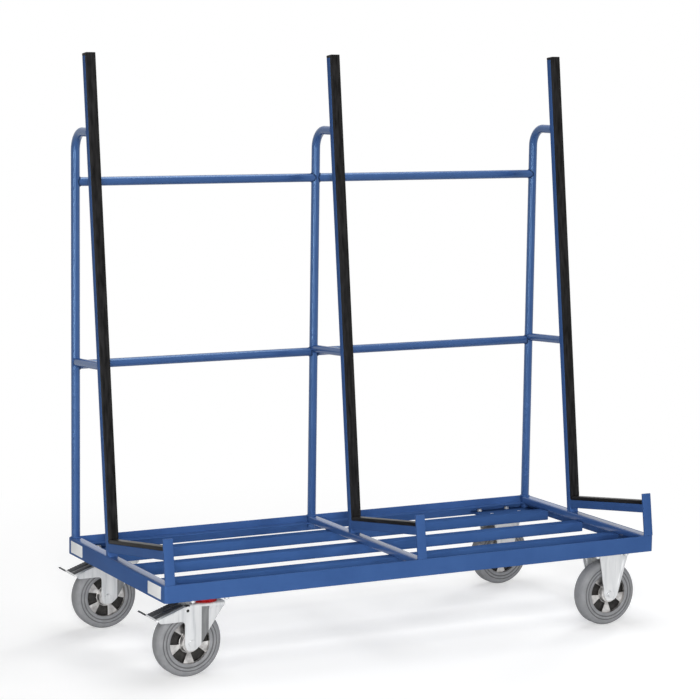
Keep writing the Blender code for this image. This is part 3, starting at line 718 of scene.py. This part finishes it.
class Channel:
    """Sheet folded into an upside-down channel: a crown with a leg down each side.

    With turn -1 the far leg is the near leg turned half round about the vertical.
    """

    def __init__(self, origin, crown_top, press, turn=1):
        self.origin = origin
        self.crown_top = crown_top
        self.press = press
        self.turn = turn
        self.crown = FORK_HALF - LEG_BEND
        self.fold = self.crown + LEG_BEND * math.pi / 2

    def down(self, height):
        """Distance along the sheet from its middle to a height on a leg."""
        return self.fold + self.crown_top - LEG_BEND - height

    def place_at(self, along, across, depth):
        side = 1 if across >= 0 else -1
        reach = abs(across)
        if reach <= self.crown:
            spot = (across, self.crown_top - depth)
        elif reach < self.fold:
            angle = (reach - self.crown) / LEG_BEND
            radius = LEG_BEND - depth
            spot = (side * (self.crown + radius * math.sin(angle)),
                    self.crown_top - LEG_BEND + radius * math.cos(angle))
        else:
            height = self.crown_top - LEG_BEND - (reach - self.fold)
            measured = along * self.turn if side > 0 else along
            spot = (side * (FORK_HALF - depth - self.press(measured, height)), height)
        return (self.origin[0] + along, self.origin[1] + spot[0], spot[1])

    def fold_cuts(self):
        steps = 5
        cuts = []
        for k in range(steps + 1):
            cuts += self.both_legs(self.crown + (self.fold - self.crown) * k / steps)
        return cuts

    def level_cuts(self, heights):
        cuts = []
        for height in heights:
            cuts += self.both_legs(self.down(height))
        return cuts

    def both_legs(self, across):
        return [((0.0, across), (0.0, 1.0)), ((0.0, -across), (0.0, 1.0))]

    def outline(self, low_x, high_x, leg):
        """Flat outline: the crown from low_x to high_x and a leg of (x, z) points on each side."""
        middle_strip = 0.004
        flat = [(along, self.down(height)) for along, height in leg]
        corners = fillet([(high_x, 0.0)] + flat + [(low_x, 0.0)], LEG_CORNER)
        cut = [p for p in corners if p[1] > middle_strip]
        near = [(along, -across) for along, across in reversed(cut)]
        if self.turn < 0:
            cut = [(-along, across) for along, across in reversed(cut)]
        return cut + near


# Caster bolts: a head and washer above the pad, a washer, nut and thread end below the plate
def caster_bolts(tag, centre):
    upper_washer = 0.0085
    lower_washer = 0.0080
    head = 0.0066
    nut = 0.0064
    thread = 0.0036
    soft = 0.0003
    chamfer = 0.0009
    head_low = PAD_HIGH + 0.0016
    head_high = PAD_HIGH + 0.0072
    nut_high = RIM_BOTTOM - 0.0014
    nut_low = RIM_BOTTOM - 0.0076
    thread_low = RIM_BOTTOM - 0.0102
    shapes = []
    for sx in (-1, 1):
        for sy in (-1, 1):
            spot = (centre.x + sx * BOLT_PATTERN[0], centre.y + sy * BOLT_PATTERN[1], 0.0)
            shapes += [
                disc(spot, "z", upper_washer, PAD_HIGH, head_low, soft),
                hexagon_prism(spot, head, head_low, head_high, chamfer, phase=sx * 0.3),
                disc(spot, "z", lower_washer, nut_high, RIM_BOTTOM, soft),
                hexagon_prism(spot, nut, nut_low, nut_high, chamfer, phase=sy * 0.4),
                disc(spot, "z", thread, thread_low, nut_low, soft=0.0007, sides=16)]
    add_piece("caster_bolts_" + tag, *merge(shapes), ZINC, "frame", "zinc", angle=25.0)


# Wheels
def tyre_profile():
    """Closed section of the tyre, as points of radius and distance from the wheel's middle plane."""
    seat = [(RIM_RADIUS + FIT, 0.0), (RIM_RADIUS + FIT, 0.0233)]
    lip = [(0.0616, 0.0234), (0.0612, 0.0240), (0.0620, 0.0250), (0.0694, 0.0252), (0.0704, 0.0250)]
    inner_groove = [(0.0714, 0.0233), (0.0732, 0.0233), (0.0742, 0.0250), (0.0802, 0.0250)]
    outer_groove = [(0.0811, 0.0235), (0.0825, 0.0235), (0.0834, 0.0249), (0.0872, 0.0248)]
    shoulder = [(0.0884, 0.0243), (0.0948, 0.0211), (0.0960, 0.0199), (0.0972, 0.0180), (0.0992, 0.0140)]
    tread = [(0.0998, 0.0124), (WHEEL_RADIUS, 0.0104), (WHEEL_RADIUS, 0.0)]
    half = seat + lip + inner_groove + outer_groove + shoulder + tread
    return [(radius, -along) for radius, along in half] + [(r, a) for r, a in reversed(half) if a > 0]


def wheel(tag, axle):
    body = "wheel_" + tag

    def measure(point):
        """Distance from the axle's line and from the wheel's middle plane."""
        return math.hypot(point.x - axle.x, point.z - axle.z), abs(point.y - axle.y)

    def in_shaded_pocket(point):
        radius, across = measure(point)
        return POCKET_RADII[0] < radius < POCKET_RADII[1] and across < POCKET_HALF

    def in_shaded_groove(point):
        radius, across = measure(point)
        return across < GROOVE_HALF and any(low < radius < high for low, high in GROOVE_RADII)

    # The pocket faces take the near-black paint, painted shade
    dress("wheel_rim_" + tag, "spoked_rim_" + tag, ALLOY, body, "alloy", CAST_EDGE,
          second=POCKET_SHADE, is_second=in_shaded_pocket)
    tyre = lathe(tyre_profile(), axle, "y", sides=96)
    # Faces in the sidewall grooves take the darker grey, painted shade
    add_piece("moulded_tyre_" + tag, *tyre, TYRE, body, "tyre", ("tyre_" + tag,), angle=50.0,
              second=GROOVE_SHADE, is_second=in_shaded_groove)


# Swivel casters
def swivel_seal(tag, pivot):
    low = CROWN_TOP + FIT
    high = low + 0.0112
    bore = 0.0100
    face = 0.0366
    edge = 0.0380
    neck = 0.0362
    section = [(bore, low), (face, low), (edge, low + 0.0014), (edge, low + 0.0036), (neck, low + 0.0044),
               (neck, low + 0.0054), (edge, low + 0.0062), (edge, low + 0.0094), (face, high), (bore, high)]
    seal = lathe(section, (pivot.x, pivot.y, 0.0), "z", sides=64)
    add_piece("grooved_seal_" + tag, *seal, RED, "fork_" + tag, "seal", ("seal_ring_" + tag,))


# Ends of the pedal and of its tread, along X from the axle
PEDAL_TIP = -PEDAL_REACH
PEDAL_TOP_END = PEDAL_PIVOT_X - 0.006
TREAD_START = PEDAL_TOP_END - 0.004
TREAD_END = PEDAL_TIP + 0.004


def pedal_under(along):
    """Height of the pedal's underside at a distance along X from the axle."""
    return PEDAL_PIVOT_Z + PEDAL_LIFT + (along - PEDAL_PIVOT_X) * math.tan(PEDAL_SLOPE)


def swivel_fork(tag, axle):
    """Fork: legs with arms under the pedal, and a band beside each leg's flat that is pressed inwards and
    takes darker zinc as painted shade.
    """
    front_x = TRAIL + 0.051
    crown_x = PEDAL_PIVOT_X + 0.008
    arm_top_x = crown_x - 0.006
    arm_x = 0.008 - PEDAL_REACH
    arm_low = PEDAL_PIVOT_Z - 0.0305
    rear_x = -0.019
    foot_x = 0.012
    lift = 0.0006
    leg_top = CROWN_TOP - LEG_BEND
    crease = 0.031
    slope_end = 0.055
    band_depth = 0.0042
    band_fade = 0.016

    def press(along, height):
        inward = min(max((along - crease) / (slope_end - crease), 0.0), 1.0)
        return band_depth * inward * smooth_step((leg_top - height) / band_fade)

    def in_shaded_band(point):
        return (crease < point.x - axle.x < slope_end and point.z < leg_top - 0.002
                and abs(point.y - axle.y) > FORK_HALF - LEG_SHEET)

    channel = Channel((axle.x, axle.y), CROWN_TOP, press)
    leg = [(front_x, leg_top - 0.002), (0.028, WHEEL_RADIUS - 0.008), (foot_x, LEG_FOOT),
           (-foot_x, LEG_FOOT), (rear_x, WHEEL_RADIUS - 0.006), (rear_x, arm_low - 0.007),
           (rear_x - 0.007, arm_low), (arm_x + 0.006, arm_low), (arm_x, pedal_under(arm_x) - lift),
           (arm_top_x, pedal_under(arm_top_x) - lift), (crown_x, leg_top + 0.0005)]
    cuts = channel.fold_cuts()
    steps = 3
    for k in range(steps + 1):
        cuts.append(((crease + (slope_end - crease) * k / steps, 0.0), (1.0, 0.0)))
    cuts += channel.level_cuts([leg_top - drop for drop in (0.004, 0.008, 0.012, band_fade)])
    shape = pressed_sheet(channel.outline(crown_x, front_x, leg), cuts, channel.place_at, LEG_SHEET)
    # The pressed bands take the darker zinc as painted shade
    add_piece("pressed_fork_" + tag, *shape, ZINC, "fork_" + tag, "zinc", ("fork_" + tag,), angle=24.0,
              second=DULL_ZINC_AND_SHADE, is_second=in_shaded_band)


def pivot_rivets(tag, axle, hinge):
    """Rivet heads of the pedal's pivot with a dark disc in each as painted shade of its hole, and their
    shanks inside the legs.
    """
    def rivet(side, radius, inner, outer, soft):
        ends = sorted((axle.y + side * inner, axle.y + side * outer))
        return disc((hinge.x, 0.0, hinge.z), "y", radius, *ends, soft)

    head = 0.0056
    hole = 0.0044
    shank = 0.0040
    ear_in = EAR_OUT - EAR_SHEET
    rivets = []
    holes = []
    for side in (-1, 1):
        rivets.append(rivet(side, head, FORK_HALF - 0.0005, FORK_HALF + 0.0012, soft=0.0004))
        holes.append(rivet(side, hole, FORK_HALF + 0.0008, FORK_HALF + 0.0015, soft=0.0002))
        rivets.append(rivet(side, shank, ear_in - 0.0004, FORK_HALF - 0.0020, soft=0.0003))
    add_piece("pivot_rivets_" + tag, *merge(rivets), ZINC, "fork_" + tag, "zinc")
    # Dark discs in the rivet heads: painted shade of their holes
    add_piece("pivot_hole_shades_" + tag, *merge(holes), POCKET_SHADE, "fork_" + tag, "pedal")


def on_slope(axle, plan, low, high, radius, edge):
    """Flat piece that lies on the pedal's slope, from low to high above its underside."""
    outline = fillet(plan, radius)
    rings = []
    for rise in (low, high):
        rings.append([(axle.x + a, axle.y + b, pedal_under(a) + rise) for a, b in outline])
    return round_rims(*skin(rings), edge)


def pedal_plate(axle):
    """Plate of the pedal, and the raised lip along its tip."""
    taper = 0.003
    end = PEDAL_TIP + 0.001
    plan = [(PEDAL_TOP_END, -PEDAL_HALF + taper), (end, -PEDAL_HALF), (end, PEDAL_HALF),
            (PEDAL_TOP_END, PEDAL_HALF - taper)]
    lip = span(PEDAL_TIP + 0.0012, -PEDAL_HALF + 0.001, PEDAL_TIP + 0.0042, PEDAL_HALF - 0.001)
    return [on_slope(axle, plan, 0.0, 0.0025, radius=0.0045, edge=0.0006),
            on_slope(axle, lip, 0.0018, 0.0048, radius=0.0012, edge=0.0008)]


def pedal_ears(axle, hinge):
    """Ears that hang from the plate on the pivot, drawn from the pivot's middle."""
    ear_top = pedal_under(PEDAL_PIVOT_X - 0.016) + 0.0015 - PEDAL_PIVOT_Z
    ear = [(-0.012, -0.006), (0.0, -0.0085), (0.0065, -0.005), (0.0065, 0.0055), (-0.0065, 0.0115),
           (-0.016, ear_top), (-0.0145, 0.0)]
    outline = fillet(ear, 0.002)
    ears = []
    for side in (-1, 1):
        ends = sorted((axle.y + side * (EAR_OUT - EAR_SHEET), axle.y + side * EAR_OUT))
        rings = [[(hinge.x + a, y, hinge.z + b) for a, b in outline] for y in ends]
        ears.append(round_rims(*skin(rings), 0.0005))
    return ears


def ribbed_strip(axle, low, high):
    """Strip of the tread with ribs across it, from low to high beside the pedal's middle."""
    ribs = 11
    rib_share = 0.62
    base, valley, crest = 0.0022, 0.0040, 0.0050
    length = TREAD_END - TREAD_START
    section = [(TREAD_START, base)]
    for i in range(ribs):
        rib_start = TREAD_START + length * i / ribs
        rib_end = TREAD_START + length * (i + rib_share) / ribs
        rib_next = TREAD_START + length * (i + 1) / ribs
        section += [(rib_start, crest), (rib_end, crest), (rib_end, valley), (rib_next, valley)]
    section.append((TREAD_END, base))
    rings = []
    for y in (low, high):
        rings.append([(axle.x + a, axle.y + y, pedal_under(a) + rise) for a, rise in section])
    return round_rims(*skin(rings), 0.0004)


def brake_pedal(tag, axle, hinge):
    """Zinc plate with two ears on the pivot, a dark side wing, a bare strip and two ribbed dark strips."""
    body = "pedal_" + tag
    plate = pedal_plate(axle) + pedal_ears(axle, hinge)
    add_piece("pedal_plate_" + tag, *merge(plate), ZINC, body, "pedal", ("pedal_" + tag,))
    plan = span(PEDAL_TIP + 0.001, PEDAL_HALF - 0.003, PEDAL_TIP + 0.0055, PEDAL_HALF + WING_REACH)
    wing = on_slope(axle, plan, 0.0002, 0.0024, radius=0.0015, edge=0.0004)
    add_piece("pedal_wing_" + tag, *wing, PAD, body, "pedal")
    plan = span(TREAD_END + 0.002, -0.0040, TREAD_START - 0.002, 0.0050)
    bare_strip = on_slope(axle, plan, 0.0020, 0.0031, radius=0.002, edge=0.0003)
    add_piece("pedal_bare_strip_" + tag, *bare_strip, DULL_ZINC_AND_SHADE, body, "pedal")
    strips = [ribbed_strip(axle, -0.0240, -0.0050), ribbed_strip(axle, 0.0060, PEDAL_HALF - 0.004)]
    add_piece("pedal_tread_" + tag, *merge(strips), PAD, body, "pedal")


def swivel_caster(tag):
    pivot = JOINT_AT["swivel_" + tag]
    axle = JOINT_AT["spin_" + tag]
    hinge = JOINT_AT["brake_" + tag]
    dress("caster_plate_" + tag, "swivel_plate_" + tag, ZINC, "frame", "zinc", PLATE_EDGE)
    dress("axle_" + tag, "axle_bolt_" + tag, ZINC, "fork_" + tag, "zinc", BOLT_EDGE)
    swivel_seal(tag, pivot)
    swivel_fork(tag, axle)
    pivot_rivets(tag, axle, hinge)
    brake_pedal(tag, axle, hinge)
    caster_bolts(tag, pivot)
    wheel(tag, axle)


# Fixed casters: legs that narrow downwards, dished between two raised edges, under a top plate
BRACKET_CROWN = (-0.039, 0.0625)
BRACKET_LEG_TOP = RIM_BOTTOM - LEG_BEND
BRACKET_EDGES = (((-0.040, RIM_BOTTOM), (-0.0185, WHEEL_RADIUS - 0.009)),
                 ((0.064, RIM_BOTTOM), (0.026, WHEEL_RADIUS - 0.010)))
RAISED_EDGE = 0.006
DISH_FADE = 0.020


def bracket_press(along, height):
    """How far a bracket's leg is pressed inwards at a place on it."""
    dish_depth = 0.0020
    dish_low = WHEEL_RADIUS + 0.012
    edge_slope = 0.005
    distances = []
    for (top_x, top_z), (low_x, low_z) in BRACKET_EDGES:
        length = math.hypot(top_x - low_x, top_z - low_z)
        cross = (along - low_x) * (top_z - low_z) - (height - low_z) * (top_x - low_x)
        distances.append(abs(cross) / length)
    dish = smooth_step((min(distances) - RAISED_EDGE) / edge_slope)
    below_top = smooth_step((BRACKET_LEG_TOP - height) / DISH_FADE)
    above_axle = smooth_step((height - dish_low) / DISH_FADE)
    return dish_depth * dish * below_top * above_axle


def raised_edge_cuts(channel):
    """Cuts along the slopes between the raised edges and the dish of each leg."""
    cuts = []
    for (top_x, top_z), (low_x, low_z) in BRACKET_EDGES:
        length = math.hypot(top_x - low_x, top_z - low_z)
        normal = Vector(((top_z - low_z) / length, -(top_x - low_x) / length))
        inward = normal if top_x < 0 else -normal
        for inset in (RAISED_EDGE, 0.0075, 0.0095, 0.011):
            spot = Vector((low_x, low_z)) + inward * inset
            across = channel.down(spot.y)
            cuts += [((spot.x, -across), (normal.x, normal.y)), ((-spot.x, across), (normal.x, normal.y))]
    return cuts


def bracket(tag, axle):
    low_x, high_x = BRACKET_CROWN
    left_edge, right_edge = BRACKET_EDGES
    shoulder = BRACKET_LEG_TOP - 0.002
    leg = [(high_x, shoulder), right_edge[1], (0.014, LEG_FOOT), (-0.010, LEG_FOOT), left_edge[1],
           (low_x, shoulder)]
    channel = Channel((axle.x, axle.y), RIM_BOTTOM, bracket_press, -1)
    cuts = channel.fold_cuts() + raised_edge_cuts(channel)
    cuts += channel.level_cuts([BRACKET_LEG_TOP - drop for drop in (0.006, 0.012, DISH_FADE)])
    cuts += channel.level_cuts([WHEEL_RADIUS + rise for rise in (0.032, 0.025, 0.018, 0.012)])
    sheet = pressed_sheet(channel.outline(low_x, high_x, leg), cuts, channel.place_at, LEG_SHEET)
    low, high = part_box("bracket_" + tag)
    corner = 0.010
    overlap = 0.0002
    plan = rounded_rectangle((high.x - low.x) / 2, (high.y - low.y) / 2, corner, steps=6)
    rings = [[(axle.x + a, axle.y + b, z) for a, b in plan] for z in (RIM_BOTTOM - overlap, PLATE_TOP)]
    plate = round_rims(*skin(rings), CUT_EDGE)
    add_piece("pressed_bracket_" + tag, *merge([sheet, plate]), ZINC, "frame", "zinc", ("bracket_" + tag,))


def fixed_caster(tag):
    axle = JOINT_AT["spin_" + tag]
    dress("axle_" + tag, "axle_bolt_" + tag, ZINC, "frame", "zinc", BOLT_EDGE)
    bracket(tag, axle)
    caster_bolts(tag, axle)
    wheel(tag, axle)


for row in ("front", "rear"):
    swivel_caster("left_" + row)
for row in ("front", "rear"):
    fixed_caster("right_" + row)


# Blank plates on the left end rail
def blank_plate(name, centre_y):
    half_length = 0.045
    half_height = 0.018
    outline = rounded_rectangle(half_length, half_height, 0.0015)
    middle = (RIM_BOTTOM + RIM_TOP) / 2
    rings = []
    for out, inset in ((0.0, 0.0), (0.0005, 0.0), (0.0007, 0.0004)):
        rings.append([(LEFT_END - out, centre_y + a * (1 - inset / half_length),
                       middle + b * (1 - inset / half_height)) for a, b in outline])
    add_piece(name, *skin(rings), PLATE, "frame", "alloy")


blank_plate("blank_plate_front", FRONT + 0.072)
blank_plate("blank_plate_rear", REAR - 0.068)


# Floor, light and camera
def math_node(tree, operation, first, second):
    """Maths node on an output, with a second output or a plain number."""
    node = tree.nodes.new("ShaderNodeMath")
    node.operation = operation
    tree.links.new(first, node.inputs[0])
    if isinstance(second, float):
        node.inputs[1].default_value = second
    else:
        tree.links.new(second, node.inputs[1])
    return node.outputs["Value"]


def seen_directly(tree, strength):
    """A strength for rays from the camera and from glossy and clear surfaces, and none for other rays."""
    path = tree.nodes.new("ShaderNodeLightPath")
    total = path.outputs["Is Camera Ray"]
    for name in ("Is Glossy Ray", "Is Transmission Ray"):
        total = math_node(tree, "MAXIMUM", total, path.outputs[name])
    return math_node(tree, "MULTIPLY", total, strength)


def floor_material():
    """Pale surface that keeps the shadows near the object and runs out into the white of the background."""
    grey = 0.70
    near_glow = 0.42
    fade_start = 0.9
    fade_end = 2.4
    material = bpy.data.materials.new("studio_floor")
    material.use_nodes = True
    tree = material.node_tree
    tree.nodes.remove(tree.nodes["Principled BSDF"])
    diffuse = tree.nodes.new("ShaderNodeBsdfDiffuse")
    diffuse.inputs["Color"].default_value = (grey, grey, grey, 1.0)
    glow = tree.nodes.new("ShaderNodeEmission")
    tree.links.new(seen_directly(tree, near_glow), glow.inputs["Strength"])
    near = tree.nodes.new("ShaderNodeAddShader")
    tree.links.new(diffuse.outputs["BSDF"], near.inputs[0])
    tree.links.new(glow.outputs["Emission"], near.inputs[1])
    far = tree.nodes.new("ShaderNodeEmission")
    tree.links.new(seen_directly(tree, 1.0), far.inputs["Strength"])
    length = tree.nodes.new("ShaderNodeVectorMath")
    length.operation = "LENGTH"
    tree.links.new(object_points(tree), length.inputs[0])
    reach = tree.nodes.new("ShaderNodeMapRange")
    reach.interpolation_type = "SMOOTHSTEP"
    reach.inputs["From Min"].default_value = fade_start
    reach.inputs["From Max"].default_value = fade_end
    tree.links.new(length.outputs["Value"], reach.inputs["Value"])
    blend = tree.nodes.new("ShaderNodeMixShader")
    tree.links.new(reach.outputs["Result"], blend.inputs["Fac"])
    tree.links.new(near.outputs["Shader"], blend.inputs[1])
    tree.links.new(far.outputs["Emission"], blend.inputs[2])
    tree.links.new(blend.outputs["Shader"], tree.nodes["Material Output"].inputs["Surface"])
    return material


def white_floor():
    half = 60.0
    mesh = bpy.data.meshes.new("studio_floor")
    corners = [(*corner, 0) for corner in span(-half, -half, half, half)]
    mesh.from_pydata(corners, [], [(0, 1, 2, 3)])
    mesh.materials.append(floor_material())
    floor = bpy.data.objects.new("studio_floor", mesh)
    bpy.context.scene.collection.objects.link(floor)


def studio_world():
    ambient = 0.12
    world = bpy.data.worlds.new("studio")
    bpy.context.scene.world = world
    world.use_nodes = True
    tree = world.node_tree
    background = tree.nodes["Background"]
    background.inputs["Color"].default_value = (1.0, 1.0, 1.0, 1.0)
    total = math_node(tree, "ADD", seen_directly(tree, 1.0 - ambient), ambient)
    tree.links.new(total, background.inputs["Strength"])


def soft_lamp(name, place, target, size, power, mirrored=True):
    """Round area lamp; a lamp that isn't mirrored leaves no glare on glossy surfaces."""
    data = bpy.data.lights.new(name, "AREA")
    data.shape = "DISK"
    data.size = size
    data.energy = power
    lamp = bpy.data.objects.new(name, data)
    lamp.location = place
    lamp.visible_glossy = mirrored
    lamp.rotation_euler = (Vector(target) - Vector(place)).to_track_quat("-Z", "Y").to_euler()
    bpy.context.scene.collection.objects.link(lamp)


def photo_camera():
    azimuth = math.radians(-27.402)
    elevation = math.radians(7.211)
    roll = math.radians(0.633)
    distance = 6.885
    target = Vector((BASE_X - 0.2260, BASE_Y, 0.8870))
    frame_pixels = 700.0
    focal_pixels = 2305.0
    shift_pixels = (50.0, -8.0)
    sensor = 36.0
    back = Vector((math.sin(azimuth) * math.cos(elevation), -math.cos(azimuth) * math.cos(elevation),
                   math.sin(elevation)))
    right = Vector((0, 0, 1)).cross(back).normalized()
    up = back.cross(right)
    turned_right = right * math.cos(roll) + up * math.sin(roll)
    turned_up = up * math.cos(roll) - right * math.sin(roll)
    data = bpy.data.cameras.new("photo_camera")
    data.sensor_fit = "HORIZONTAL"
    data.sensor_width = sensor
    data.lens = focal_pixels * sensor / frame_pixels
    data.shift_x = shift_pixels[0] / frame_pixels
    data.shift_y = shift_pixels[1] / frame_pixels
    data.clip_end = 200.0
    camera = bpy.data.objects.new("photo_camera", data)
    rotation = Matrix((turned_right, turned_up, back)).transposed().to_4x4()
    camera.matrix_world = Matrix.Translation(target + back * distance) @ rotation
    bpy.context.scene.collection.objects.link(camera)
    bpy.context.scene.camera = camera


white_floor()
studio_world()
soft_lamp("key_lamp", (-4.9, -10.3, 2.3), (0.0, 0.0, 0.9), size=2.4, power=670.0)
soft_lamp("high_lamp", (-4.6, -8.6, 6.6), (0.0, 0.0, 0.6), size=3.0, power=280.0)
soft_lamp("right_lamp", (5.9, -10.8, 3.3), (0.0, 0.0, 0.9), size=2.2, power=290.0, mirrored=False)
soft_lamp("side_lamp", (-4.4, -1.9, 0.60), (0.0, 0.0, 0.9), size=0.9, power=45.0)
soft_lamp("rear_lamp", (9.2, 6.0, 3.8), (0.0, 0.0, 0.7), size=3.0, power=420.0, mirrored=False)
soft_lamp("top_lamp", (0.7, 0.5, 4.4), (0.2, 0.1, 0.3), size=3.0, power=90.0)
photo_camera()
bpy.context.scene.view_settings.view_transform = "Standard"
